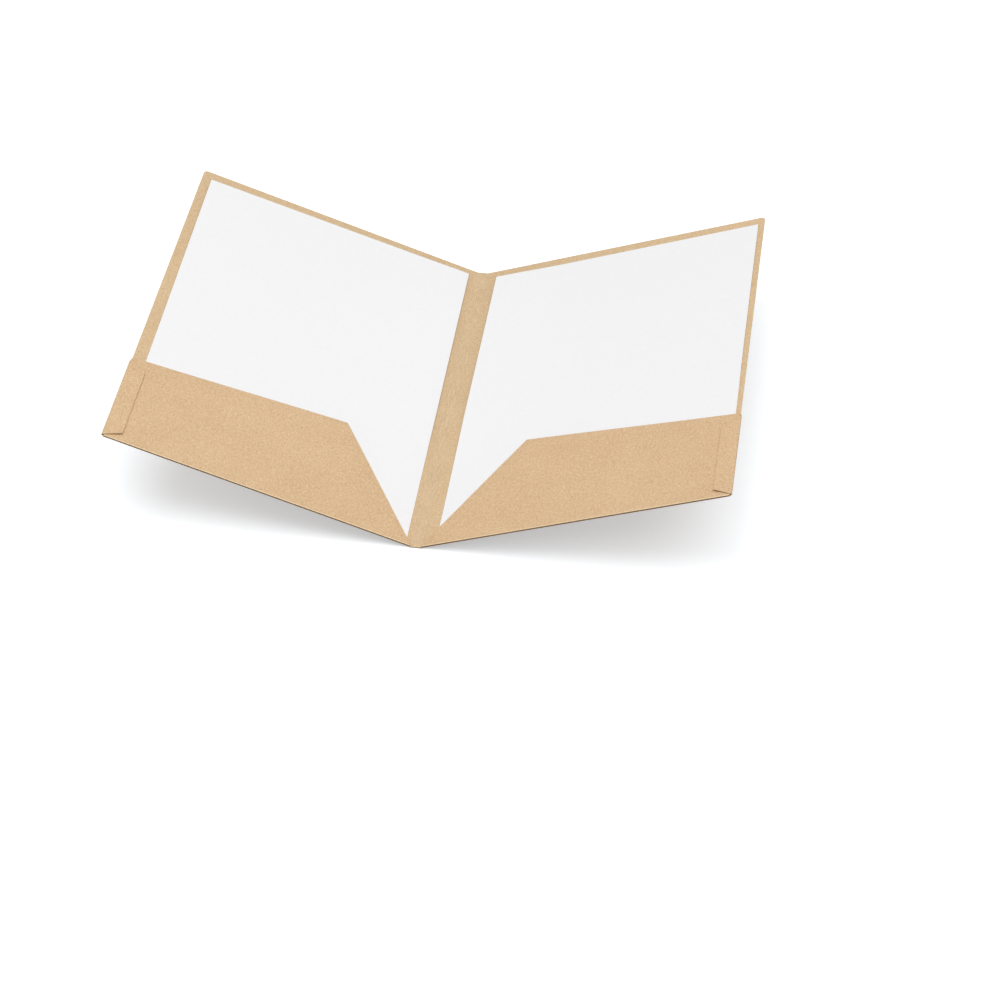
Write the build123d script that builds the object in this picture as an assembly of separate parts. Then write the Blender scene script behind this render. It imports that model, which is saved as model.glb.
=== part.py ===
"""Two pocket folder for A4 papers, folded and glued from one piece of kraft board.

The folder lies open on its spine, with both covers raised alike so that it makes a shallow V.
X runs across the covers, Y runs up the spine from the pockets to the top edge, and Z points up.
The origin is the middle of the spine's outer face, which rests on the table.

Each cover is first laid out flat: u runs from its spine crease to its outer edge, v runs from the
bottom fold to the top edge, and w is the height over the middle of the cover's board.
"""

import os

from build123d import *

# Driving dimensions of the loose A4 papers, in millimetres
sheet_width = 210.0
sheet_height = 297.0
sheet_thickness = 0.3
sheet_clearance = 0.1

# Driving dimensions of the blank: each cover is larger than the paper by the room named here
cover_room_across = 14.0
cover_room_along = 11.0
spine_width = 8.0
board_thickness = 0.6
corner_radius = 3.5

# Driving dimensions of the pockets and of the tabs that close them at the side
pocket_outer_height = 83.0
pocket_knee_height = 94.0
pocket_knee_reach = 65.5
pocket_tip_height = 1.2
pocket_side_gap = 0.4
tab_reach = 12.0
tab_bottom = 1.0
tab_top_drop = 4.0
tab_bottom_bevel = 5.5
tab_top_bevel = 5.0
glue_thickness = 0.1
glue_margin = 2.5

# Room that the board leaves at each crease, so that a cover turns without rubbing the spine, and how far
# the spine's strip reaches past each crease
crease_gap = 0.3
crease_overlap = 0.15

# Rest pose, in degrees: how far each cover rises from the table
cover_lift = 20.0

# How each paper lies in its pocket: its distances from the crease and from the bottom fold, and its
# small turn in degrees
left_sheet_margin = 3.55
left_sheet_seat = 1.2
left_sheet_turn = -0.6
right_sheet_margin = 10.8
right_sheet_seat = 0.4
right_sheet_turn = 0.25

# Sizes that follow from the paper and the pocket
cover_width = sheet_width + cover_room_across
folder_height = sheet_height + cover_room_along
tab_top = pocket_outer_height - tab_top_drop

# Heights over the middle of the cover's board, from the cover's inner face up to the tab
half_board = board_thickness / 2
pocket_gap = sheet_thickness + 2 * sheet_clearance
pocket_floor = half_board + pocket_gap
pocket_face = pocket_floor + board_thickness
tab_floor = pocket_face + glue_thickness

# Each fold is half a tube of board: the bottom one bends round the paper, the side one round the pocket
bottom_fold_inner = pocket_gap / 2
bottom_fold_outer = bottom_fold_inner + board_thickness
side_fold_inner = (tab_floor - half_board) / 2
side_fold_outer = side_fold_inner + board_thickness

# The cover's board starts past the edge of the spine's strip
cover_start = crease_overlap + crease_gap


def plate(points, floor, thickness):
    """A flat piece with a straight-sided outline, standing on the height floor."""
    outline = make_face(Polyline(*points, close=True))
    return Pos(0, 0, floor) * extrude(outline, thickness)


def half_tube(plane, inner, outer, length):
    """Half of a tube that bulges to the plane's -X side, extruded from the plane."""
    ring = Circle(outer) - Circle(inner)
    keep = Rectangle(outer, 2 * outer, align=(Align.MAX, Align.CENTER))
    return extrude(plane * (ring & keep), length)


def cover():
    """The cover's board, with its free top corner rounded."""
    points = [
        (cover_start, bottom_fold_outer),
        (cover_width, bottom_fold_outer),
        (cover_width, folder_height),
        (cover_start, folder_height),
    ]
    board = plate(points, -half_board, board_thickness)
    top_corner = board.edges().filter_by(Axis.Z).sort_by(Axis.X)[-2:].sort_by(Axis.Y)[-1]
    return fillet(top_corner, corner_radius)


def bottom_fold():
    """The rounded fold that carries the pocket along the cover's bottom edge."""
    centre = (cover_start, bottom_fold_outer, half_board + bottom_fold_inner)
    plane = Plane(origin=centre, x_dir=(0, 1, 0), z_dir=(1, 0, 0))
    return half_tube(plane, bottom_fold_inner, bottom_fold_outer, cover_width - cover_start)


def pocket():
    """The flap that folds up into a pocket, with a slanting mouth and its inner end cut on the skew."""
    pocket_side = cover_width - pocket_side_gap
    points = [
        (cover_start, bottom_fold_outer),
        (pocket_side, bottom_fold_outer),
        (pocket_side, pocket_outer_height),
        (pocket_knee_reach, pocket_knee_height),
        (cover_start, bottom_fold_outer + pocket_tip_height),
    ]
    return plate(points, pocket_floor, board_thickness)


def side_fold():
    """The rounded fold at the cover's outer edge, which turns the tab over the pocket."""
    centre = (cover_width, tab_top, half_board + side_fold_inner)
    plane = Plane(origin=centre, x_dir=(-1, 0, 0), z_dir=(0, -1, 0))
    return half_tube(plane, side_fold_inner, side_fold_outer, tab_top - tab_bottom)


def tab_outline(margin):
    """The corners of the glue tab, drawn in by a margin."""
    outer = cover_width - margin
    inner = cover_width - tab_reach + margin
    return [
        (outer, tab_bottom + margin),
        (outer, tab_top - margin),
        (inner, tab_top - tab_top_bevel - margin),
        (inner, tab_bottom + tab_bottom_bevel + margin),
    ]


def glue_tab():
    """The tab that lies on the pocket's front and holds its side shut."""
    return plate(tab_outline(0), tab_floor, board_thickness)


def glue_line():
    """The film of glue between the tab and the pocket."""
    return plate(tab_outline(glue_margin), pocket_face, glue_thickness)


def sheet(margin, seat, turn):
    """A loose paper that stands in the pocket, with its lowest corner a seat above the bottom fold."""
    paper = Box(sheet_width, sheet_height, sheet_thickness, align=(Align.MIN, Align.MIN, Align.MIN))
    paper = Rot(0, 0, turn) * paper
    drop = paper.bounding_box().min.Y
    floor = half_board + sheet_clearance
    return Pos(margin, bottom_fold_outer + seat - drop, floor) * paper


def spine():
    """The strip between the two creases."""
    strip_width = spine_width + 2 * crease_overlap
    return Box(strip_width, folder_height, board_thickness, align=(Align.CENTER, Align.MIN, Align.CENTER))


def cover_side(side, margin, seat, turn):
    """All the pieces of one cover, laid out flat with the crease on the Y axis."""
    return {
        f"{side}_cover": cover(),
        f"{side}_bottom_fold": bottom_fold(),
        f"{side}_pocket": pocket(),
        f"{side}_side_fold": side_fold(),
        f"{side}_glue_tab": glue_tab(),
        f"{side}_glue_line": glue_line(),
        f"{side}_sheet": sheet(margin, seat, turn),
    }


# Each crease runs along one side of the spine, and each cover turns up from its crease
spine_place = Pos(0, -folder_height / 2, half_board)
right_place = spine_place * Pos(spine_width / 2, 0, 0) * Rot(0, -cover_lift, 0)
left_place = spine_place * Pos(-spine_width / 2, 0, 0) * Rot(0, cover_lift, 0)

pieces = {"spine": spine_place * spine()}
right_side = cover_side("right", right_sheet_margin, right_sheet_seat, right_sheet_turn)
left_side = cover_side("left", left_sheet_margin, left_sheet_seat, left_sheet_turn)
for name, piece in right_side.items():
    pieces[name] = right_place * piece
for name, piece in left_side.items():
    pieces[name] = left_place * mirror(piece, about=Plane.YZ)

os.makedirs("parts", exist_ok=True)
for name, piece in pieces.items():
    export_step(piece, f"parts/{name}.step")
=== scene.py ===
"""Dresses the two pocket folder: its kraft board, its papers, the floor, the light and the camera.

Sizes are in millimetres, as in the part's own source, and become metres when a piece is put in its
place. The studio round the folder is given in metres from the start. Each cover is laid out flat
first: u runs from its crease to its outer edge, v runs from the bottom fold to the top edge, and w is
the height over the middle of the cover's board.
"""

import logging
import math
from collections.abc import Callable, Iterable
from dataclasses import dataclass
from enum import Enum

import bmesh
import bpy
from mathutils import Matrix, Vector


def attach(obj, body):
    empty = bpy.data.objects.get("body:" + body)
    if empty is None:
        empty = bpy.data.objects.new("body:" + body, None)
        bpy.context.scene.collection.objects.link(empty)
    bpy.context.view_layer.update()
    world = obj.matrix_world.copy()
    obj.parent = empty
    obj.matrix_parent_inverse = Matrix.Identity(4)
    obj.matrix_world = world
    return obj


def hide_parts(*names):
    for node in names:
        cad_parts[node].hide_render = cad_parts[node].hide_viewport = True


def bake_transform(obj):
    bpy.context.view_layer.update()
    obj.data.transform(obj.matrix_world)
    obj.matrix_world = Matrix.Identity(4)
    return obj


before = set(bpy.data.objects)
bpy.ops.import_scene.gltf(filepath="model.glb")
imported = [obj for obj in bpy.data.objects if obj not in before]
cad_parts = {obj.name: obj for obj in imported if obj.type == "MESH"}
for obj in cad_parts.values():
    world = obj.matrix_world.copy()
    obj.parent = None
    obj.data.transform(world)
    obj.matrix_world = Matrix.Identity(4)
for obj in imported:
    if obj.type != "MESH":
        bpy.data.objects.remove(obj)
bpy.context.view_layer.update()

MM = 0.001
QUARTER_TURN = math.pi / 2

# Points closer than this, in millimetres, are in the same place.
SAME_PLACE = 1e-4
# A face looks along a direction when its normal has more than this share of it.
STEEP_SHARE = 0.5
# An edge that turns by more than this angle stays sharp in the shading.
SMOOTH_ANGLE = math.radians(35.0)
# A free edge that turns by more than this angle is eased, in this many steps.
CORNER_ANGLE = math.radians(50.0)
EASE_STEPS = 2

# Directions on a flat cover, along u, v and w.
ACROSS = Vector((1, 0, 0))
ALONG = Vector((0, 1, 0))
UP = Vector((0, 0, 1))

# The sRGB curve is straight for the darkest tones and a power for the others.
SRGB_TOP = 255
SRGB_STRAIGHT_END = 0.04045
SRGB_STRAIGHT_SLOPE = 12.92
SRGB_OFFSET = 0.055
SRGB_POWER = 2.4

# Sockets that go by their numbers, because several have the same name: those of a colour mix, and the
# terms of a sum.
MIX_SHARE = 0
MIX_FIRST = 6
MIX_SECOND = 7
MIX_RESULT = 2
FIRST = 0
SECOND = 1
THIRD = 2

log = logging.getLogger("two_pocket_folder")

Outline = list[tuple[float, float]]


class Side(Enum):
    """The two covers, each with the sign of its direction from the spine."""

    RIGHT = 1
    LEFT = -1

    @property
    def label(self) -> str:
        """The word that starts the names of this side's pieces."""
        return self.name.lower()


class BoardFace(Enum):
    """The surfaces that a piece of board shows, with their material slots on its mesh."""

    INSIDE = 0
    OUTSIDE = 1
    CUT = 2
    # Painted shade: a dark brown for the turned-under half of a fold and the spine's lower end.
    FOLD = 3
    # Painted highlight: a pale tone along the top of the pocket's fold.
    RIDGE = 4
    SPINE = 5


def to_linear(colour: str) -> tuple[float, float, float, float]:
    """Turns an sRGB hex colour into Blender's linear colour.

    Args:
        colour: A colour such as "#DBBB94".

    Returns:
        Red, green, blue and an alpha of 1.
    """
    linear = []
    for channel in bytes.fromhex(colour.removeprefix("#")):
        share = channel / SRGB_TOP
        if share <= SRGB_STRAIGHT_END:
            linear.append(share / SRGB_STRAIGHT_SLOPE)
        else:
            linear.append(((share + SRGB_OFFSET) / (1 + SRGB_OFFSET)) ** SRGB_POWER)
    red, green, blue = linear
    return (red, green, blue, 1.0)


def smooth_step(share: float) -> float:
    """Holds a share between 0 and 1, and eases it so that it starts and ends level."""
    held = min(1.0, max(0.0, share))
    return held * held * (3 - 2 * held)


def add_node(
    tree: bpy.types.NodeTree,
    kind: str,
    settings: dict | None = None,
    links: dict | None = None,
) -> bpy.types.Node:
    """Adds one node to a material or the world.

    Args:
        tree: The node tree that gets the node.
        kind: Blender's name for the kind of node.
        settings: Values by name or number, for the node's inputs or else its own properties.
        links: Output sockets by the name or number of the input that they feed.

    Returns:
        The new node.
    """
    node = tree.nodes.new(kind)
    for name, value in (settings or {}).items():
        if isinstance(name, int) or name in node.inputs:
            node.inputs[name].default_value = value
        else:
            setattr(node, name, value)
    for name, socket in (links or {}).items():
        tree.links.new(socket, node.inputs[name])
    return node


def start_material(
    name: str,
) -> tuple[bpy.types.Material, bpy.types.NodeTree, bpy.types.NodeSocket]:
    """Makes a material that holds nothing but the piece's own coordinates.

    Args:
        name: The material's name.

    Returns:
        The material, its node tree and the socket with the coordinates.
    """
    material = bpy.data.materials.new(name)
    material.use_nodes = True
    tree = material.node_tree
    tree.nodes.clear()
    place = add_node(tree, "ShaderNodeTexCoord").outputs["Object"]
    return material, tree, place


@dataclass(frozen=True, kw_only=True)
class Finish:
    """What the finishes of board, paper and glue share: two tones, a fine relief and a shine."""

    name: str
    pale: str
    deep: str
    relief_mm: float
    relief_share: float
    refraction: float
    shine_share: float

    def close_material(
        self,
        tree: bpy.types.NodeTree,
        colour: bpy.types.NodeSocket,
        height: bpy.types.NodeSocket,
        roughness: float | bpy.types.NodeSocket,
    ) -> None:
        """Ends a material with its fine relief, its shader and its output.

        Args:
            tree: The material's node tree.
            colour: The socket with the surface's colour.
            height: The socket with the pattern that stands up from the surface.
            roughness: One roughness for the whole surface, or the socket with its pattern.
        """
        relief = add_node(
            tree,
            "ShaderNodeBump",
            {"Strength": self.relief_share, "Distance": self.relief_mm * MM},
            {"Height": height},
        )
        settings = {"IOR": self.refraction, "Specular IOR Level": self.shine_share}
        links = {"Base Color": colour, "Normal": relief.outputs["Normal"]}
        given = settings if isinstance(roughness, float) else links
        given["Roughness"] = roughness
        shader = add_node(tree, "ShaderNodeBsdfPrincipled", settings, links)
        add_node(tree, "ShaderNodeOutputMaterial", {}, {"Surface": shader.outputs["BSDF"]})


@dataclass(frozen=True, kw_only=True)
class KraftFinish(Finish):
    """Unbleached kraft board, pressed smooth on a paper machine and left uncoated.

    To the eye it is a warm matte tan. Its long pulp fibres cross each other as fine pale and dark
    hairs, the pulp lies in soft clouds, and here and there a dark speck of bark or a pale bundle of
    fibres shows.
    """

    speck: str = "#A9835A"
    wisp: str = "#E9CFA8"
    cloud_mm: float = 30.0
    cloud_detail: float = 1.0
    mottle_mm: float = 1.2
    mottle_detail: float = 1.5
    # Real fibres are about 0.03 mm wide. They are drawn this wide so that they show in the render.
    fibre_width_mm: float = 0.8
    fibre_length_mm: float = 2.4
    fibre_detail: float = 2.0
    fibre_raggedness: float = 0.55
    fibre_turns: tuple[float, float] = (0.6, -1.0)
    cloud_share: float = 0.1
    mottle_share: float = 0.5
    fibre_share: float = 0.2
    tone_spread: float = 0.19
    speck_spacing_mm: float = 7.0
    speck_mm: float = 0.3
    speck_stretch_share: float = 0.45
    speck_empty_share: float = 0.72
    wisp_empty_share: float = 0.55
    wisp_shift_mm: float = 370.0
    relief_mm: float = 0.035
    relief_share: float = 0.45
    roughest: float = 0.94
    smoothest: float = 0.8
    gloss_spread: float = 0.3
    refraction: float = 1.47
    shine_share: float = 0.25

    def fibres(
        self,
        tree: bpy.types.NodeTree,
        place: bpy.types.NodeSocket,
        turn: float,
    ) -> bpy.types.NodeSocket:
        """Draws one set of fibres that lie along the board, turned a little.

        Args:
            tree: The material's node tree.
            place: The piece's own coordinates.
            turn: How far the set is turned from the spine's direction, in radians.

        Returns:
            The socket with the pattern, around a half.
        """
        stretch = self.fibre_width_mm / self.fibre_length_mm
        laid = add_node(
            tree,
            "ShaderNodeMapping",
            {"Rotation": (0.0, 0.0, turn), "Scale": (1.0, stretch, 1.0)},
            {"Vector": place},
        )
        hairs = add_node(
            tree,
            "ShaderNodeTexNoise",
            {
                "Scale": 1 / (self.fibre_width_mm * MM),
                "Detail": self.fibre_detail,
                "Roughness": self.fibre_raggedness,
            },
            {"Vector": laid.outputs["Vector"]},
        )
        return hairs.outputs["Fac"]

    def specks(
        self,
        tree: bpy.types.NodeTree,
        place: bpy.types.NodeSocket,
        shift_mm: float,
        empty_share: float,
    ) -> bpy.types.NodeSocket:
        """Scatters small specks, which only some of the scattered places keep.

        Args:
            tree: The material's node tree.
            place: The piece's own coordinates.
            shift_mm: A shift that gives each kind of speck its own places.
            empty_share: The share of places that stay empty.

        Returns:
            The socket with 1 on a speck and 0 elsewhere.
        """
        first_turn = self.fibre_turns[0]
        moved = add_node(
            tree,
            "ShaderNodeMapping",
            {
                "Location": (shift_mm * MM, shift_mm * MM, shift_mm * MM),
                "Rotation": (0.0, 0.0, first_turn),
                "Scale": (1.0, self.speck_stretch_share, 1.0),
            },
            {"Vector": place},
        )
        spots = add_node(
            tree,
            "ShaderNodeTexVoronoi",
            {"Scale": 1 / (self.speck_spacing_mm * MM), "Randomness": 1.0},
            {"Vector": moved.outputs["Vector"]},
        )
        size = self.speck_mm / self.speck_spacing_mm
        near = add_node(
            tree,
            "ShaderNodeMapRange",
            {"From Min": size, "From Max": size / 2, "To Min": 0.0, "To Max": 1.0},
            {"Value": spots.outputs["Distance"]},
        )
        chance = add_node(tree, "ShaderNodeSeparateColor", {}, {"Color": spots.outputs["Color"]})
        kept = add_node(
            tree,
            "ShaderNodeMath",
            {"operation": "GREATER_THAN", SECOND: empty_share},
            {FIRST: chance.outputs["Red"]},
        )
        both = add_node(
            tree,
            "ShaderNodeMath",
            {"operation": "MULTIPLY"},
            {FIRST: near.outputs["Result"], SECOND: kept.outputs["Value"]},
        )
        return both.outputs["Value"]

    def material(self) -> bpy.types.Material:
        """Makes the board's material.

        Returns:
            The material.
        """
        material, tree, place = start_material(self.name)
        clouds = add_node(
            tree,
            "ShaderNodeTexNoise",
            {"Scale": 1 / (self.cloud_mm * MM), "Detail": self.cloud_detail},
            {"Vector": place},
        )
        mottle = add_node(
            tree,
            "ShaderNodeTexNoise",
            {"Scale": 1 / (self.mottle_mm * MM), "Detail": self.mottle_detail},
            {"Vector": place},
        )
        one_way, other_way = (self.fibres(tree, place, turn) for turn in self.fibre_turns)
        hairs = add_node(
            tree,
            "ShaderNodeMath",
            {"operation": "ADD"},
            {FIRST: one_way, SECOND: other_way},
        )
        pulp = add_node(
            tree,
            "ShaderNodeMath",
            {"operation": "MULTIPLY", SECOND: self.cloud_share},
            {FIRST: clouds.outputs["Fac"]},
        )
        flecked = add_node(
            tree,
            "ShaderNodeMath",
            {"operation": "MULTIPLY_ADD", SECOND: self.mottle_share},
            {FIRST: mottle.outputs["Fac"], THIRD: pulp.outputs["Value"]},
        )
        grain = add_node(
            tree,
            "ShaderNodeMath",
            {"operation": "MULTIPLY_ADD", SECOND: self.fibre_share},
            {FIRST: hairs.outputs["Value"], THIRD: flecked.outputs["Value"]},
        )
        middle = (self.cloud_share + self.mottle_share) / 2 + self.fibre_share
        tone = add_node(
            tree,
            "ShaderNodeMapRange",
            {"From Min": middle - self.tone_spread, "From Max": middle + self.tone_spread},
            {"Value": grain.outputs["Value"]},
        )
        board = add_node(
            tree,
            "ShaderNodeMix",
            {"data_type": "RGBA", MIX_FIRST: to_linear(self.deep), MIX_SECOND: to_linear(self.pale)},
            {MIX_SHARE: tone.outputs["Result"]},
        )
        bark = self.specks(tree, place, 0.0, self.speck_empty_share)
        specked = add_node(
            tree,
            "ShaderNodeMix",
            {"data_type": "RGBA", MIX_SECOND: to_linear(self.speck)},
            {MIX_SHARE: bark, MIX_FIRST: board.outputs[MIX_RESULT]},
        )
        bundles = self.specks(tree, place, self.wisp_shift_mm, self.wisp_empty_share)
        wisped = add_node(
            tree,
            "ShaderNodeMix",
            {"data_type": "RGBA", MIX_SECOND: to_linear(self.wisp)},
            {MIX_SHARE: bundles, MIX_FIRST: specked.outputs[MIX_RESULT]},
        )
        matte = add_node(
            tree,
            "ShaderNodeMapRange",
            {
                "From Min": 1 - self.gloss_spread,
                "From Max": 1 + self.gloss_spread,
                "To Min": self.roughest,
                "To Max": self.smoothest,
            },
            {"Value": hairs.outputs["Value"]},
        )
        colour = wisped.outputs[MIX_RESULT]
        self.close_material(tree, colour, grain.outputs["Value"], matte.outputs["Result"])
        return material


@dataclass(frozen=True, kw_only=True)
class CutBoardFinish(Finish):
    """Kraft board cut by a steel rule, so that the plies of the board show at its edge.

    To the eye it is a narrow band, rougher than the faces, with faint lines along it. It is a little
    paler than the faces: partly the cut plies, partly a painted highlight on an edge that the lamps
    hardly reach.
    """

    name: str = "die_cut_kraft_edge"
    # A little paler than the board's faces, partly as a painted highlight.
    pale: str = "#F0D8B4"
    deep: str = "#D9BC94"
    ply_mm: float = 0.16
    tuft_mm: float = 1.1
    line_detail: float = 2.0
    relief_mm: float = 0.04
    relief_share: float = 0.5
    roughness: float = 0.95
    refraction: float = 1.47
    shine_share: float = 0.2

    def material(self) -> bpy.types.Material:
        """Makes the cut edge's material.

        Returns:
            The material.
        """
        material, tree, place = start_material(self.name)
        stretch = self.ply_mm / self.tuft_mm
        plies = add_node(
            tree,
            "ShaderNodeMapping",
            {"Scale": (stretch, stretch, 1.0)},
            {"Vector": place},
        )
        lines = add_node(
            tree,
            "ShaderNodeTexNoise",
            {"Scale": 1 / (self.ply_mm * MM), "Detail": self.line_detail},
            {"Vector": plies.outputs["Vector"]},
        )
        board = add_node(
            tree,
            "ShaderNodeMix",
            {"data_type": "RGBA", MIX_FIRST: to_linear(self.deep), MIX_SECOND: to_linear(self.pale)},
            {MIX_SHARE: lines.outputs["Fac"]},
        )
        colour = board.outputs[MIX_RESULT]
        self.close_material(tree, colour, lines.outputs["Fac"], self.roughness)
        return material


@dataclass(frozen=True, kw_only=True)
class OfficePaperFinish(Finish):
    """Bleached office paper, calendered smooth.

    To the eye it is an even, faintly cool white with a soft clouding of its pulp and almost no
    gloss.
    """

    name: str = "calendered_office_paper"
    pale: str = "#F1F1F2"
    deep: str = "#EDEDEE"
    cloud_mm: float = 3.5
    cloud_detail: float = 3.0
    tooth_mm: float = 0.5
    tooth_detail: float = 1.0
    relief_mm: float = 0.01
    relief_share: float = 0.2
    roughness: float = 0.72
    refraction: float = 1.5
    shine_share: float = 0.3

    def material(self) -> bpy.types.Material:
        """Makes the paper's material.

        Returns:
            The material.
        """
        material, tree, place = start_material(self.name)
        clouds = add_node(
            tree,
            "ShaderNodeTexNoise",
            {"Scale": 1 / (self.cloud_mm * MM), "Detail": self.cloud_detail},
            {"Vector": place},
        )
        tooth = add_node(
            tree,
            "ShaderNodeTexNoise",
            {"Scale": 1 / (self.tooth_mm * MM), "Detail": self.tooth_detail},
            {"Vector": place},
        )
        sheet = add_node(
            tree,
            "ShaderNodeMix",
            {"data_type": "RGBA", MIX_FIRST: to_linear(self.deep), MIX_SECOND: to_linear(self.pale)},
            {MIX_SHARE: clouds.outputs["Fac"]},
        )
        colour = sheet.outputs[MIX_RESULT]
        self.close_material(tree, colour, tooth.outputs["Fac"], self.roughness)
        return material


@dataclass(frozen=True, kw_only=True)
class DriedGlueFinish(Finish):
    """White wood glue, rolled on thin and pressed until dry.

    To the eye it is a clouded amber film with a slight gloss and small pressed-out bubbles.
    """

    name: str = "rolled_dried_glue"
    pale: str = "#E4D3B0"
    deep: str = "#CDB78C"
    bubble_mm: float = 1.2
    relief_mm: float = 0.02
    relief_share: float = 0.4
    roughness: float = 0.38
    refraction: float = 1.46
    shine_share: float = 0.5

    def material(self) -> bpy.types.Material:
        """Makes the glue's material.

        Returns:
            The material.
        """
        material, tree, place = start_material(self.name)
        bubbles = add_node(
            tree,
            "ShaderNodeTexVoronoi",
            {"Scale": 1 / (self.bubble_mm * MM)},
            {"Vector": place},
        )
        film = add_node(
            tree,
            "ShaderNodeMix",
            {"data_type": "RGBA", MIX_FIRST: to_linear(self.pale), MIX_SECOND: to_linear(self.deep)},
            {MIX_SHARE: bubbles.outputs["Distance"]},
        )
        colour = film.outputs[MIX_RESULT]
        self.close_material(tree, colour, bubbles.outputs["Distance"], self.roughness)
        return material


@dataclass(frozen=True)
class FloorFinish:
    """A matte white studio floor, which keeps the folder's soft shadow.

    To the eye it is plain white without any gloss. Its distances are in metres from the folder.
    """

    name: str = "matte_white_floor"
    seen: str = "#F9FCFF"
    bounced: str = "#A6A6A6"
    glow_share: float = 0.4
    lit_share: float = 0.9
    glow_start: float = 0.55
    glow_end: float = 1.3

    def material(self) -> bpy.types.Material:
        """Makes the floor's material.

        Bounced light finds it darker than the camera does. For the camera a share of its white is a
        glow of its own, which adds no light to the folder. The lit share and the glow come to more
        than 1, and the glow grows with the distance, so that the floor stays white where the lamps
        fall off.

        Returns:
            The material.
        """
        material, tree, place = start_material(self.name)
        path = add_node(tree, "ShaderNodeLightPath")
        lit = tuple(channel * self.lit_share for channel in to_linear(self.seen)[:3]) + (1.0,)
        seen = add_node(
            tree,
            "ShaderNodeMix",
            {"data_type": "RGBA", MIX_FIRST: to_linear(self.bounced), MIX_SECOND: lit},
            {MIX_SHARE: path.outputs["Is Camera Ray"]},
        )
        away = add_node(tree, "ShaderNodeVectorMath", {"operation": "LENGTH"}, {FIRST: place})
        white = add_node(
            tree,
            "ShaderNodeMapRange",
            {
                "interpolation_type": "SMOOTHSTEP",
                "From Min": self.glow_start,
                "From Max": self.glow_end,
                "To Min": self.glow_share,
                "To Max": 1.0,
            },
            {"Value": away.outputs["Value"]},
        )
        glow = add_node(
            tree,
            "ShaderNodeMath",
            {"operation": "MULTIPLY"},
            {FIRST: white.outputs["Result"], SECOND: path.outputs["Is Camera Ray"]},
        )
        shader = add_node(
            tree,
            "ShaderNodeBsdfPrincipled",
            {"Roughness": 1.0, "Specular IOR Level": 0.0, "Emission Color": to_linear(self.seen)},
            {"Base Color": seen.outputs[MIX_RESULT], "Emission Strength": glow.outputs["Value"]},
        )
        add_node(tree, "ShaderNodeOutputMaterial", {}, {"Surface": shader.outputs["BSDF"]})
        return material


class BoardMaterials:
    """The materials of the board, in the order of their slots."""

    def __init__(self) -> None:
        """Makes the materials once, for every piece of board to share."""
        inside = KraftFinish(name="uncoated_kraft_board_inside", pale="#E4CAA4", deep="#C2A37D")
        outside = KraftFinish(name="uncoated_kraft_board_outside", pale="#E5C8A1", deep="#C3A07A")
        # The turned-under half of a fold and the spine's lower end get this dark brown, which is
        # painted
        # shade: it stands in for the shade under the fold.
        bent = KraftFinish(
            name="uncoated_kraft_board_bent",
            pale="#9E7E57",
            deep="#79593A",
            roughest=0.97,
        )
        # The ridge of a fold is rubbed smooth when the fold is pressed, so it is a little less rough.
        # Its pale tone is a painted highlight along the ridge.
        ridge = KraftFinish(
            name="burnished_kraft_board_ridge",
            pale="#F6DFBC",
            deep="#E0C49C",
            roughest=0.86,
        )
        # Between the creases the rollers of the folding machine draw the fibres out along the spine.
        drawn = KraftFinish(
            name="roller_creased_kraft_board",
            pale="#E2C9A5",
            deep="#C0A27E",
            mottle_share=0.3,
            fibre_share=0.3,
            fibre_width_mm=0.7,
            fibre_length_mm=7.0,
            fibre_turns=(0.05, -0.08),
        )
        faces = [inside.material(), outside.material(), CutBoardFinish().material()]
        self.slots = faces + [bent.material(), ridge.material(), drawn.material()]


def flat_panel(outline: Outline, floor: float, thickness: float) -> bmesh.types.BMesh:
    """Starts a panel of board as a thick plate.

    Args:
        outline: The corners of the panel, as u and v.
        floor: The height of its lower face.
        thickness: The thickness of the board.

    Returns:
        A new bmesh with the plate.
    """
    bm = bmesh.new()
    corners = [bm.verts.new((u, v, floor)) for u, v in outline]
    bm.faces.new(corners)
    thicken(bm, thickness)
    return bm


def thicken(bm: bmesh.types.BMesh, thickness: float) -> None:
    """Grows a flat face, or a grid of faces, up into a plate.

    Args:
        bm: The bmesh with the faces.
        thickness: How far they grow along w.
    """
    grown = bmesh.ops.extrude_face_region(bm, geom=bm.faces[:])
    raised = [part for part in grown["geom"] if isinstance(part, bmesh.types.BMVert)]
    bmesh.ops.translate(bm, verts=raised, vec=(0.0, 0.0, thickness))
    bmesh.ops.recalc_face_normals(bm, faces=bm.faces[:])


def slice_along(bm: bmesh.types.BMesh, axis: Vector, places: Iterable[float]) -> None:
    """Cuts a bmesh with parallel planes, so that it can bend between them.

    Args:
        bm: The bmesh to cut.
        axis: The direction that the planes face.
        places: Where each plane stands along the axis.
    """
    for place in places:
        bmesh.ops.bisect_plane(
            bm,
            geom=bm.verts[:] + bm.edges[:] + bm.faces[:],
            dist=SAME_PLACE,
            plane_co=axis * place,
            plane_no=axis,
        )


def spread(low: float, high: float, parts: int) -> list[float]:
    """Gives the places that split the stretch from low to high into equal parts, without its ends."""
    return [low + (high - low) * part / parts for part in range(1, parts)]


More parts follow.
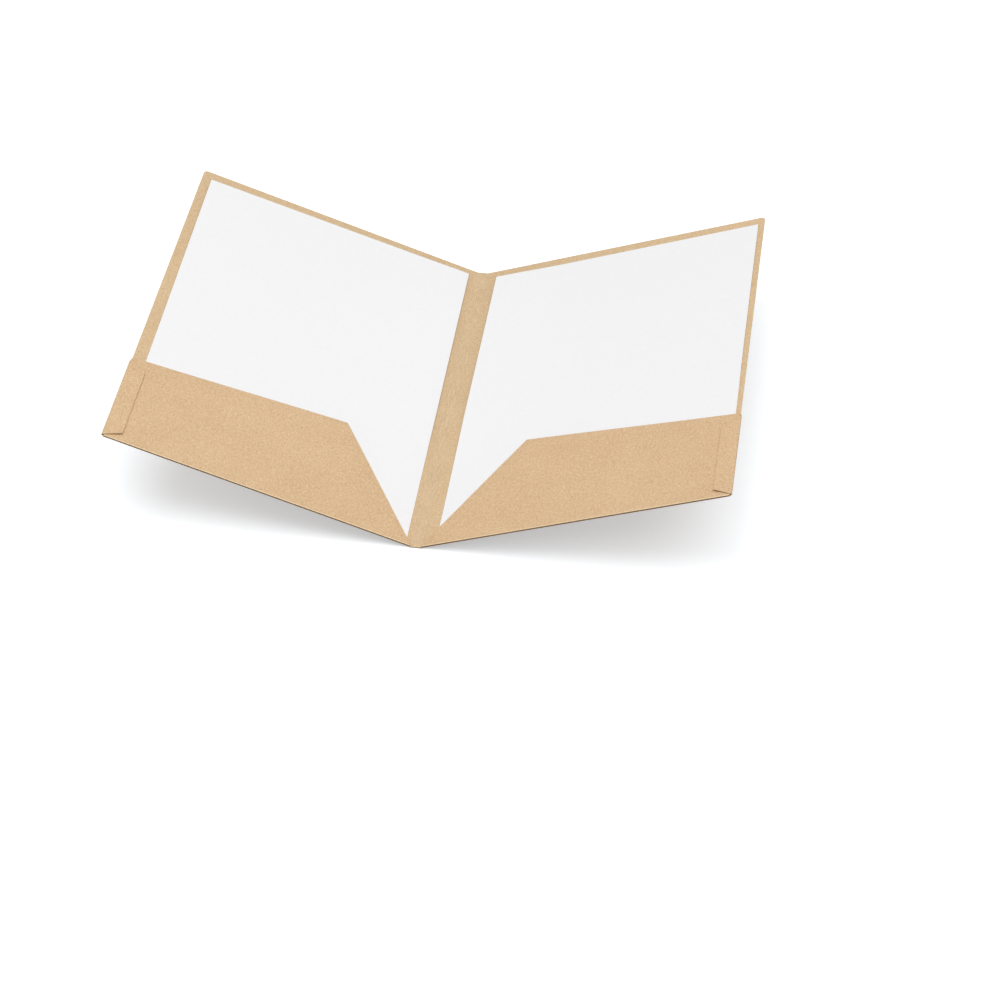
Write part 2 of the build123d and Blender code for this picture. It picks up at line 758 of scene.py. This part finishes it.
@dataclass(frozen=True)
class Fold:
    """A fold that carries a panel half a turn over the cover, round a line along u or v."""

    line: Vector
    axis: Vector
    over: Vector
    ridge: BoardFace
    # From this angle off the top, the front of the fold gets painted shade.
    browned_from: float
    steps: int = 12

    def rim(self, bm: bmesh.types.BMesh) -> list[bmesh.types.BMFace]:
        """Finds the end of a panel that lies on the fold's line.

        Args:
            bm: The bmesh with the panel.

        Returns:
            The faces at that end.
        """
        start = self.line.dot(self.over)
        return [
            face
            for face in bm.faces
            if all(abs(vert.co.dot(self.over) - start) < SAME_PLACE for vert in face.verts)
        ]

    def roll(self, bm: bmesh.types.BMesh) -> None:
        """Rolls the end of a panel half a turn round the line.

        Args:
            bm: The bmesh with the panel.
        """
        faces = self.rim(bm)
        corners = {vert for face in faces for vert in face.verts}
        edges = {edge for face in faces for edge in face.edges}
        bmesh.ops.spin(
            bm,
            geom=list(corners) + list(edges) + faces,
            cent=self.line,
            axis=self.axis,
            dvec=(0.0, 0.0, 0.0),
            angle=math.pi,
            steps=self.steps,
            use_merge=False,
            use_duplicate=False,
        )
        bmesh.ops.remove_doubles(bm, verts=bm.verts[:], dist=SAME_PLACE)

    def face(self, middle: Vector, normal: Vector) -> BoardFace:
        """Tells the faces of the panel and its fold.

        The board's outside is in front once it is folded over.

        Args:
            middle: The face's middle.
            normal: The face's normal.

        Returns:
            The surface of the board.
        """
        if abs(normal.dot(self.axis)) > STEEP_SHARE:
            return BoardFace.CUT
        away = middle - self.line
        if away.dot(self.over) > 0:
            away -= self.axis * away.dot(self.axis)
            if normal.dot(away) < 0:
                return BoardFace.INSIDE
            # Top of the fold: the ridge's face, a painted highlight on the pocket. Below: painted
            # shade.
            return self.ridge if away.angle(UP) < self.browned_from else BoardFace.FOLD
        if abs(normal.z) < STEEP_SHARE:
            return BoardFace.CUT
        return BoardFace.OUTSIDE if normal.z > 0 else BoardFace.INSIDE


def ease_edges(bm: bmesh.types.BMesh, width: float, chosen: Callable[[Vector], bool]) -> None:
    """Rounds the sharp edges of a panel a little, where they are free.

    Args:
        bm: The bmesh with the panel.
        width: How far the rounding reaches from the edge.
        chosen: Says for an edge's middle whether the edge is free.
    """
    sharp = [
        edge
        for edge in bm.edges
        if edge.is_manifold
        and edge.calc_face_angle() > CORNER_ANGLE
        and chosen((edge.verts[0].co + edge.verts[1].co) / 2)
    ]
    bmesh.ops.bevel(
        bm,
        geom=sharp,
        offset=width,
        offset_type="OFFSET",
        segments=EASE_STEPS,
        profile=0.5,
        affect="EDGES",
        material=-1,
    )


def round_corners(
    bm: bmesh.types.BMesh,
    corners: list[bmesh.types.BMVert],
    radius: float,
    steps: int,
) -> None:
    """Rounds corners of a flat outline, before it gets its thickness.

    Args:
        bm: The bmesh with the outline.
        corners: The corners to round.
        radius: The radius of the rounding.
        steps: How many steps make each rounding.
    """
    bmesh.ops.bevel(
        bm,
        geom=corners,
        offset=radius,
        offset_type="OFFSET",
        segments=steps,
        profile=0.5,
        affect="VERTICES",
        material=-1,
    )


def paint_faces(bm: bmesh.types.BMesh, choose: Callable[[Vector, Vector], BoardFace]) -> None:
    """Gives each face of a piece of board its material slot.

    Args:
        bm: The bmesh to paint.
        choose: Says for a face's middle and normal which surface of the board it is.
    """
    bm.normal_update()
    for face in bm.faces:
        face.material_index = choose(face.calc_center_median(), face.normal).value


def finish_piece(
    name: str,
    bm: bmesh.types.BMesh,
    place: Matrix,
    materials: list[bpy.types.Material],
) -> bpy.types.Object:
    """Puts a bmesh in its place as a piece of the folder.

    Args:
        name: The piece's name.
        bm: The bmesh, which is used up.
        place: The matrix from the bmesh's millimetres to the folder's metres.
        materials: The materials by slot.

    Returns:
        The new object, at the origin, with its place in its mesh.
    """
    bmesh.ops.transform(bm, matrix=place, verts=bm.verts[:])
    bmesh.ops.recalc_face_normals(bm, faces=bm.faces[:])
    mesh = bpy.data.meshes.new(name)
    bm.to_mesh(mesh)
    bm.free()
    for material in materials:
        mesh.materials.append(material)
    mesh.shade_smooth()
    mesh.set_sharp_from_angle(angle=SMOOTH_ANGLE)
    piece = bpy.data.objects.new(name, mesh)
    bpy.context.scene.collection.objects.link(piece)
    log.info("%s: %d faces", name, len(mesh.polygons))
    return piece


@dataclass(frozen=True)
class Blank:
    """The one piece of board that the folder is folded from.

    Along a crease the board bends within the bend's reach on both sides, and the cover's own piece
    starts at the bend's end. The cover's lift is in radians.
    """

    cover_width: float = 224.0
    folder_height: float = 308.0
    spine_width: float = 8.0
    thickness: float = 0.6
    corner_radius: float = 3.5
    paper_room: float = 0.5
    glue: float = 0.1
    cover_start: float = 0.45
    cover_lift: float = math.radians(20.0)
    bend_reach: float = 1.2
    bend_end: float = 1.5
    edge_ease: float = 0.08

    @property
    def half(self) -> float:
        """Half of the board's thickness."""
        return self.thickness / 2

    @property
    def pocket_floor(self) -> float:
        """The height of the pocket's back face."""
        return self.half + self.paper_room

    @property
    def pocket_face(self) -> float:
        """The height of the pocket's front face."""
        return self.pocket_floor + self.thickness

    @property
    def tab_floor(self) -> float:
        """The height of the glue tab's back face."""
        return self.pocket_face + self.glue

    @property
    def bottom_fold_middle(self) -> float:
        """The height of the line that the bottom fold goes round."""
        return self.half + self.paper_room / 2

    @property
    def bottom_fold_radius(self) -> float:
        """The outer radius of the bottom fold."""
        return self.paper_room / 2 + self.thickness

    @property
    def side_fold_middle(self) -> float:
        """The height of the line that the side fold goes round."""
        return (self.half + self.tab_floor) / 2

    def middle_of_spine(self) -> Matrix:
        """The place of the spine's lower end, from millimetres to metres."""
        return Matrix.Scale(MM, 4) @ Matrix.Translation((0.0, -self.folder_height / 2, self.half))

    def beside_crease(self, side: Side) -> Matrix:
        """The place of the spine's plane, seen from one crease, where u points away from the spine.

        Args:
            side: The cover that turns on the crease.

        Returns:
            The matrix from that plane to the folder's frame.
        """
        mirrored = Matrix.Diagonal((float(side.value), 1.0, 1.0, 1.0))
        shifted = Matrix.Translation((self.spine_width / 2, 0.0, 0.0))
        return self.middle_of_spine() @ mirrored @ shifted

    def on_cover(self, side: Side) -> Matrix:
        """The place of a cover that is raised to its rest, from millimetres to metres."""
        return self.beside_crease(side) @ Matrix.Rotation(-self.cover_lift, 4, "Y")


@dataclass
class Spine:
    """The spine between the covers, with a bend of board along each crease."""

    blank: Blank
    board: BoardMaterials
    bead: float = 0.05
    bead_reach: float = 0.7
    bend_parts: int = 14

    def build(self) -> None:
        """Builds the strip and both bends, and joins the strip to the frame."""
        strip = self.strip()
        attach(strip, "spine")
        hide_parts("spine")
        for side in Side:
            self.bend(side)

    def strip(self) -> bpy.types.Object:
        """Makes the flat middle of the spine.

        Returns:
            The new piece.
        """
        reach = self.blank.spine_width / 2 - self.blank.bend_end
        height = self.blank.folder_height
        outline = [(-reach, 0.0), (reach, 0.0), (reach, height), (-reach, height)]
        bm = flat_panel(outline, -self.blank.half, self.blank.thickness)
        paint_faces(bm, face_of_spine)
        place = self.blank.middle_of_spine()
        return finish_piece("spine_strip", bm, place, self.board.slots)

    def bend(self, side: Side) -> None:
        """Makes the board that bends along one crease, and blends it from the spine to the cover.

        Scoring has pressed up a low bead on its inside, and its outside stays above the table.

        Args:
            side: The cover that turns on the crease.
        """
        blank = self.blank
        reach = blank.bend_end
        low = blank.bottom_fold_radius
        height = blank.folder_height
        outline = [
            (-reach, 0.0),
            (blank.cover_start, 0.0),
            (blank.cover_start, low),
            (reach, low),
            (reach, height),
            (-reach, height),
        ]
        bm = flat_panel(outline, -blank.half, blank.thickness)
        slice_along(bm, ACROSS, spread(-reach, reach, self.bend_parts))
        paint_faces(bm, face_of_spine)
        for vert in bm.verts:
            vert.co.z += self.bead * (1 - smooth_step(abs(vert.co.x) / self.bead_reach))
            share = smooth_step((vert.co.x + blank.bend_reach) / (2 * blank.bend_reach))
            vert.co = Matrix.Rotation(-blank.cover_lift * share, 3, "Y") @ vert.co
            vert.co.z = max(vert.co.z, -blank.half)
        name = f"{side.label}_crease_bend"
        piece = finish_piece(name, bm, blank.beside_crease(side), self.board.slots)
        start = blank.beside_crease(side) @ Vector((-blank.bend_reach, 0.0, 0.0))
        end = blank.on_cover(side) @ Vector((blank.bend_reach, 0.0, 0.0))
        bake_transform(piece)


def face_by_normal(middle: Vector, normal: Vector) -> BoardFace:
    """Tells the faces of a panel that lies with its inside up.

    Args:
        middle: The face's middle, which doesn't matter here.
        normal: The face's normal.

    Returns:
        The surface of the board.
    """
    if abs(normal.z) < STEEP_SHARE:
        return BoardFace.CUT
    return BoardFace.INSIDE if normal.z > 0 else BoardFace.OUTSIDE


def face_of_spine(middle: Vector, normal: Vector) -> BoardFace:
    """Tells the faces of the spine, whose lower end gets the dark brown of painted shade.

    Args:
        middle: The face's middle.
        normal: The face's normal.

    Returns:
        The surface of the board.
    """
    # The lower end is painted dark brown as shade.
    if normal.y < -STEEP_SHARE:
        return BoardFace.FOLD
    face = face_by_normal(middle, normal)
    return BoardFace.SPINE if face is BoardFace.INSIDE else face


@dataclass
class FoldedCover:
    """One cover with its pocket, folded up from below, and the tab that holds the pocket's side."""

    side: Side
    blank: Blank
    board: BoardMaterials
    pocket_outer_height: float = 83.0
    pocket_knee_height: float = 94.0
    pocket_knee_reach: float = 65.5
    pocket_tip_height: float = 1.2
    pocket_side_gap: float = 0.4
    # Round the pocket's fold, the painted highlight gives way to painted shade at this angle.
    pocket_browned_from: float = math.radians(50.0)
    mouth_lift: float = 1.3
    mouth_parts: int = 14
    tab_reach: float = 12.0
    tab_bottom: float = 1.0
    tab_top: float = 79.0
    tab_bottom_bevel: float = 5.5
    tab_top_bevel: float = 5.0
    # Round the tab's fold, painted shade starts at this angle.
    tab_browned_from: float = QUARTER_TURN
    tab_tail: float = 4.8
    tab_lift: float = 1.1
    tab_lift_reach: float = 3.0
    tab_lift_start: float = 7.0
    tab_lift_parts: int = 4
    tab_spring: float = 0.35
    tab_spring_end: float = 12.0
    glue_margin: float = 2.5
    corner_parts: int = 8

    def build(self) -> None:
        """Builds the pieces and joins them to the frame."""
        stands_for = {
            self.cover_board(): ("cover",),
            self.pocket_board(): ("pocket", "bottom_fold"),
            self.tab_board(): ("glue_tab", "side_fold"),
        }
        for piece, nodes in stands_for.items():
            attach(piece, f"{self.side.label}_cover")
            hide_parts(*(f"{self.side.label}_{node}" for node in nodes))

    def piece(self, kind: str, bm: bmesh.types.BMesh) -> bpy.types.Object:
        """Puts a bmesh of this cover in its place, as the piece whose name ends with its kind."""
        name = f"{self.side.label}_{kind}"
        return finish_piece(name, bm, self.blank.on_cover(self.side), self.board.slots)

    def cover_board(self) -> bpy.types.Object:
        """Makes the cover's panel, with its free top corner rounded.

        Returns:
            The new piece.
        """
        blank = self.blank
        start = blank.bend_end
        low = blank.bottom_fold_radius
        width = blank.cover_width
        height = blank.folder_height
        bm = bmesh.new()
        outline = [(start, low), (width, low), (width, height), (start, height)]
        corners = [bm.verts.new((u, v, -blank.half)) for u, v in outline]
        free_corner = max(corners, key=lambda vert: vert.co.x + vert.co.y)
        bm.faces.new(corners)
        round_corners(bm, [free_corner], blank.corner_radius, self.corner_parts)
        thicken(bm, blank.thickness)
        ease_edges(
            bm,
            blank.edge_ease,
            lambda middle: middle.y > low + SAME_PLACE and middle.x > start + SAME_PLACE,
        )
        paint_faces(bm, face_by_normal)
        return self.piece("cover_board", bm)

    def mouth_rise(self, u: float, v: float) -> float:
        """How far the free part of the pocket springs away from the papers.

        Args:
            u: The distance from the crease.
            v: The distance from the bottom edge.

        Returns:
            The rise in millimetres.
        """
        along = smooth_step(v / self.pocket_knee_height)
        free_end = self.blank.cover_width - self.tab_reach
        across = smooth_step((free_end - u) / (free_end - self.pocket_knee_reach))
        return self.mouth_lift * along * across

    def pocket_board(self) -> bpy.types.Object:
        """Makes the pocket with its slanting mouth and skew inner end, and the fold that carries it.

        Returns:
            The new piece.
        """
        blank = self.blank
        low = blank.bottom_fold_radius
        start = blank.cover_start
        end = blank.cover_width - self.pocket_side_gap
        outline = [
            (start, low),
            (end, low),
            (end, self.pocket_outer_height),
            (self.pocket_knee_reach, self.pocket_knee_height),
            (start, low + self.pocket_tip_height),
        ]
        bm = flat_panel(outline, blank.pocket_floor, blank.thickness)
        slice_along(bm, ACROSS, spread(start, end, self.mouth_parts))
        slice_along(bm, ALONG, spread(low, self.pocket_knee_height, self.mouth_parts))
        for vert in bm.verts:
            if vert.co.y > low + SAME_PLACE:
                vert.co.z += self.mouth_rise(vert.co.x, vert.co.y)
        fold = Fold(
            line=Vector((0, low, blank.bottom_fold_middle)),
            axis=ACROSS,
            over=-ALONG,
            ridge=BoardFace.RIDGE,
            browned_from=self.pocket_browned_from,
        )
        fold.roll(bm)
        ease_edges(bm, blank.edge_ease, lambda middle: middle.y > low + SAME_PLACE)
        paint_faces(bm, fold.face)
        return self.piece("pocket_board", bm)

    def lift_tab(self, bm: bmesh.types.BMesh) -> None:
        """Curls the tab's slanting lower edge and its inner edge off the pocket, beyond the glue.

        Args:
            bm: The bmesh with the flat tab.
        """
        outer = self.blank.cover_width
        inward = Vector((self.tab_bottom_bevel, self.tab_reach, 0)).normalized()
        edge = Vector((outer, self.tab_bottom, 0)).dot(inward)
        inner = outer - self.tab_reach
        top = self.tab_top - self.tab_top_bevel
        slice_along(bm, inward, spread(edge, edge + self.tab_lift_reach, self.tab_lift_parts))
        slice_along(bm, inward, [edge + self.tab_lift_reach])
        slice_along(bm, ACROSS, spread(inner, inner + self.glue_margin, self.tab_lift_parts))
        slice_along(bm, ACROSS, [inner + self.glue_margin])
        slice_along(bm, ALONG, spread(top - self.tab_spring_end, top, self.tab_lift_parts))
        for vert in bm.verts:
            low = max(0.0, 1 - (vert.co.dot(inward) - edge) / self.tab_lift_reach)
            free = smooth_step((outer - vert.co.x) / self.tab_lift_start)
            within = max(0.0, 1 - (vert.co.x - inner) / self.glue_margin)
            below = smooth_step((top - vert.co.y) / self.tab_spring_end)
            vert.co.z += self.tab_lift * free * low ** 2 + self.tab_spring * below * within ** 2

    def tab_board(self) -> bpy.types.Object:
        """Makes the bevelled tab that is glued over the pocket's side, and the fold that turns it in.

        Returns:
            The new piece.
        """
        blank = self.blank
        outer = blank.cover_width
        inner = outer - self.tab_reach
        outline = [
            (outer, self.tab_bottom),
            (outer, self.tab_top),
            (inner, self.tab_top - self.tab_top_bevel),
            (inner, self.tab_bottom + self.tab_bottom_bevel),
        ]
        bm = flat_panel(outline, blank.tab_floor, blank.thickness)
        fold = Fold(
            line=Vector((outer, 0, blank.side_fold_middle)),
            axis=ALONG,
            over=ACROSS,
            ridge=BoardFace.OUTSIDE,
            browned_from=self.tab_browned_from,
        )
        self.lift_tab(bm)
        fold.roll(bm)
        for vert in bm.verts:
            turn = math.atan2(vert.co.x - outer, vert.co.z - fold.line.z)
            if vert.co.y > self.tab_top - SAME_PLACE:
                vert.co.y += self.tab_tail * smooth_step(turn / QUARTER_TURN - 1)
        ease_edges(bm, blank.edge_ease, lambda middle: middle.x < outer - SAME_PLACE)
        paint_faces(bm, fold.face)
        return self.piece("tab_board", bm)


@dataclass(frozen=True)
class PaperLie:
    """How a paper lies in its pocket.

    The margin is its distance from the crease, and the seat is its distance from the bottom fold. The
    turn is in radians, and the edge lift is how far its edge by the spine stands off the cover.
    """

    margin: float
    seat: float
    turn: float
    edge_lift: float


@dataclass
class LoosePaper:
    """A white A4 paper that stands loose in a pocket, with its free part a little off the cover."""

    side: Side
    blank: Blank
    finish: bpy.types.Material
    lie: PaperLie
    width: float = 210.0
    height: float = 297.0
    thickness: float = 0.2
    clearance: float = 0.12
    corner_radius: float = 0.7
    corner_parts: int = 3
    free_lift: float = 0.6
    free_reach: float = 40.0
    edge_reach: float = 60.0
    held_height: float = 100.0
    edge_start_share: float = 0.2
    parts_across: int = 12
    parts_along: int = 18

    def build(self) -> None:
        """Builds the paper and joins it to the frame."""
        piece = self.sheet()
        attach(piece, f"{self.side.label}_sheet")
        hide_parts(f"{self.side.label}_sheet")

    def rise(self, u: float, v: float) -> float:
        """How far the paper stands off the cover above the pocket, most along its edge by the spine.

        Args:
            u: The distance from that edge.
            v: The distance from the paper's lower edge.

        Returns:
            The rise in millimetres.
        """
        free = self.free_lift * smooth_step((v - self.held_height) / self.free_reach)
        edge = self.lie.edge_lift * smooth_step(1 - u / self.edge_reach)
        return free + edge * smooth_step(v / self.held_height - self.edge_start_share)

    def sheet(self) -> bpy.types.Object:
        """Makes the paper.

        Returns:
            The new piece.
        """
        bm = bmesh.new()
        bmesh.ops.create_grid(bm, x_segments=self.parts_across, y_segments=self.parts_along, size=1.0)
        bmesh.ops.translate(bm, verts=bm.verts[:], vec=(1.0, 1.0, 0.0))
        bmesh.ops.scale(bm, verts=bm.verts[:], vec=(self.width / 2, self.height / 2, 1.0))
        corners = [vert for vert in bm.verts if len(vert.link_faces) == 1]
        round_corners(bm, corners, self.corner_radius, self.corner_parts)
        for vert in bm.verts:
            vert.co.z += self.rise(vert.co.x, vert.co.y)
        thicken(bm, self.thickness)
        turned = Matrix.Rotation(self.lie.turn, 3, "Z")
        bmesh.ops.rotate(bm, verts=bm.verts[:], cent=(0, 0, 0), matrix=turned)
        drop = min(vert.co.y for vert in bm.verts)
        low = self.blank.bottom_fold_radius + self.lie.seat - drop
        floor = self.blank.half + self.clearance
        bmesh.ops.translate(bm, verts=bm.verts[:], vec=(self.lie.margin, low, floor))
        name = f"{self.side.label}_paper"
        return finish_piece(name, bm, self.blank.on_cover(self.side), [self.finish])


@dataclass(frozen=True)
class Lamp:
    """A round, softly glowing lamp that faces the folder.

    Its angles and its spread are in degrees, seen from the folder, and its distance is in metres.
    """

    name: str
    azimuth: float
    elevation: float
    distance: float
    spread: float
    light: float

    def build(self) -> None:
        """Makes the lamp, as wide as its spread, and turns it to the folder."""
        half = math.radians(self.spread) / 2
        area = bpy.data.lights.new(self.name, "AREA")
        area.shape = "DISK"
        area.size = 2 * self.distance * math.tan(half)
        area.energy = self.light * math.pi * (self.distance / math.cos(half)) ** 2
        lamp = bpy.data.objects.new(self.name, area)
        around = math.radians(self.azimuth)
        up = math.radians(self.elevation)
        level = math.cos(up)
        towards = Vector((math.sin(around) * level, -math.cos(around) * level, math.sin(up)))
        turned = towards.to_track_quat("Z", "Y").to_matrix().to_4x4()
        lamp.matrix_world = Matrix.Translation(towards * self.distance) @ turned
        bpy.context.scene.collection.objects.link(lamp)


@dataclass
class Studio:
    """The white floor, the soft light and the camera, with lengths in metres."""

    floor_reach: float = 6.0
    floor_drop: float = 0.0003
    sky: float = 0.54
    white: str = "#FFFFFF"
    lamps: tuple[Lamp, ...] = (
        Lamp("window_left", azimuth=-60.0, elevation=74.0, distance=3.0, spread=34.0, light=0.84),
        Lamp("window_right", azimuth=60.0, elevation=68.0, distance=4.0, spread=50.0, light=0.88),
    )
    camera_place: tuple[float, float, float] = (0.26189, -1.45358, 1.28985)
    camera_aim: tuple[float, float, float] = (-0.11208, 0.71989, -0.68497)
    camera_up: tuple[float, float, float] = (-0.09545, 0.67833, 0.72853)
    sensor_mm: float = 36.0
    lens_mm: float = 96.05

    def build(self) -> None:
        """Builds the stage."""
        self.floor()
        self.world()
        for lamp in self.lamps:
            lamp.build()
        self.camera()
        bpy.context.scene.view_settings.view_transform = "Standard"

    def floor(self) -> None:
        """Makes the floor that the folder lies on."""
        bm = bmesh.new()
        bmesh.ops.create_grid(bm, x_segments=1, y_segments=1, size=self.floor_reach)
        bmesh.ops.translate(bm, verts=bm.verts[:], vec=(0.0, 0.0, -self.floor_drop))
        mesh = bpy.data.meshes.new("studio_floor")
        bm.to_mesh(mesh)
        bm.free()
        mesh.materials.append(FloorFinish().material())
        floor = bpy.data.objects.new("studio_floor", mesh)
        bpy.context.scene.collection.objects.link(floor)

    def world(self) -> None:
        """Makes the even light from all round, which the camera sees as plain white."""
        world = bpy.data.worlds.new("white_room")
        world.use_nodes = True
        tree = world.node_tree
        tree.nodes.clear()
        path = add_node(tree, "ShaderNodeLightPath")
        mirrored = add_node(
            tree,
            "ShaderNodeMath",
            {"operation": "MAXIMUM"},
            {FIRST: path.outputs["Is Camera Ray"], SECOND: path.outputs["Is Glossy Ray"]},
        )
        shown = add_node(
            tree,
            "ShaderNodeMath",
            {"operation": "MAXIMUM"},
            {FIRST: mirrored.outputs["Value"], SECOND: path.outputs["Is Transmission Ray"]},
        )
        strength = add_node(
            tree,
            "ShaderNodeMapRange",
            {"To Min": self.sky, "To Max": 1.0},
            {"Value": shown.outputs["Value"]},
        )
        room = add_node(
            tree,
            "ShaderNodeBackground",
            {"Color": to_linear(self.white)},
            {"Strength": strength.outputs["Result"]},
        )
        add_node(tree, "ShaderNodeOutputWorld", {}, {"Surface": room.outputs["Background"]})
        bpy.context.scene.world = world

    def camera(self) -> None:
        """Makes the camera at the photograph's viewing angle."""
        data = bpy.data.cameras.new("photo_camera")
        data.sensor_width = self.sensor_mm
        data.lens = self.lens_mm
        camera = bpy.data.objects.new("photo_camera", data)
        back = -Vector(self.camera_aim).normalized()
        right = Vector(self.camera_up).cross(back).normalized()
        up = back.cross(right)
        turned = Matrix((right, up, back)).transposed().to_4x4()
        camera.matrix_world = Matrix.Translation(self.camera_place) @ turned
        bpy.context.scene.collection.objects.link(camera)
        bpy.context.scene.camera = camera


def dress_glue() -> None:
    """Gives the films of glue under the tabs their finish."""
    glue = DriedGlueFinish().material()
    for side in Side:
        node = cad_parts[f"{side.label}_glue_line"]
        node.data.materials.clear()
        node.data.materials.append(glue)


def main() -> None:
    """Builds the folder piece by piece, then the studio round it."""
    logging.basicConfig(level=logging.INFO, format="%(name)s %(message)s")
    blank = Blank()
    board = BoardMaterials()
    paper = OfficePaperFinish().material()
    Spine(blank, board).build()
    for side in Side:
        FoldedCover(side, blank, board).build()
    left_lie = PaperLie(margin=3.55, seat=1.2, turn=math.radians(-0.6), edge_lift=0.3)
    right_lie = PaperLie(margin=10.8, seat=0.4, turn=math.radians(0.25), edge_lift=1.1)
    LoosePaper(Side.LEFT, blank, paper, left_lie).build()
    LoosePaper(Side.RIGHT, blank, paper, right_lie).build()
    dress_glue()
    Studio().build()


if __name__ == "__main__":
    main()
